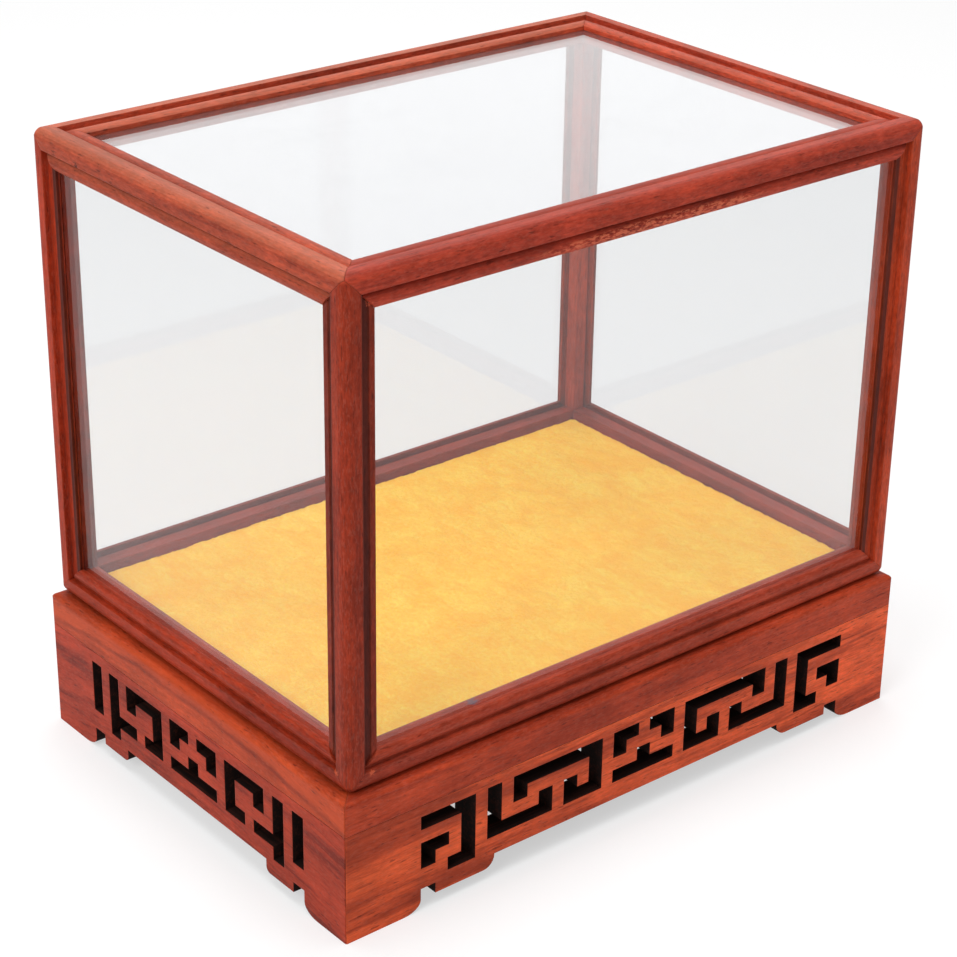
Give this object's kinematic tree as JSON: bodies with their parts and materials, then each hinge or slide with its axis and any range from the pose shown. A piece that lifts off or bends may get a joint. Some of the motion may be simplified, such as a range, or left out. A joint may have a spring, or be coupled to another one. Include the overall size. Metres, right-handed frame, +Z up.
{
  "type": "display case",
  "caption": "Glazed hardwood cover with mitred moulded frame that lifts off a pierced fretwork plinth with scroll feet and a plush-lined floor, for showing small objects",
  "frame": {"origin": "centre of the base, on the surface that the feet stand on", "axes": "+X along the long front to the right, +Y from front to back, +Z up"},
  "size_m": [0.3, 0.212, 0.2711],
  "materials": {
    "post_wood": "waxed",
    "rail_wood": "waxed",
    "fret_wood": "waxed",
    "strip_wood": "waxed",
    "panel_wood": "bare",
    "glass": "clear",
    "plush": "short pile"
  },
  "bodies": {
    "plinth": {"fret_board_front": "fret_wood", "fret_board_right": "fret_wood", "fret_board_back": "fret_wood", "fret_board_left": "fret_wood", "top_strip_front": "strip_wood", "top_strip_right": "strip_wood", "top_strip_back": "strip_wood", "top_strip_left": "strip_wood", "floor_panel": "panel_wood", "plush_lining": "plush"},
    "cover": {"post_front_left": "post_wood", "post_front_right": "post_wood", "post_back_right": "post_wood", "post_back_left": "post_wood", "top_rail_front": "rail_wood", "top_rail_right": "rail_wood", "top_rail_back": "rail_wood", "top_rail_left": "rail_wood", "bottom_rail_front": "rail_wood", "bottom_rail_right": "rail_wood", "bottom_rail_back": "rail_wood", "bottom_rail_left": "rail_wood", "pane_front": "glass", "pane_back": "glass", "pane_left": "glass", "pane_right": "glass", "pane_top": "glass"}
  },
  "joints": [
    {"name": "cover_lift", "type": "slide", "parent": "plinth", "child": "cover", "axis": [0, 0, 1], "range_m": [0, 0.22]}
  ]
}
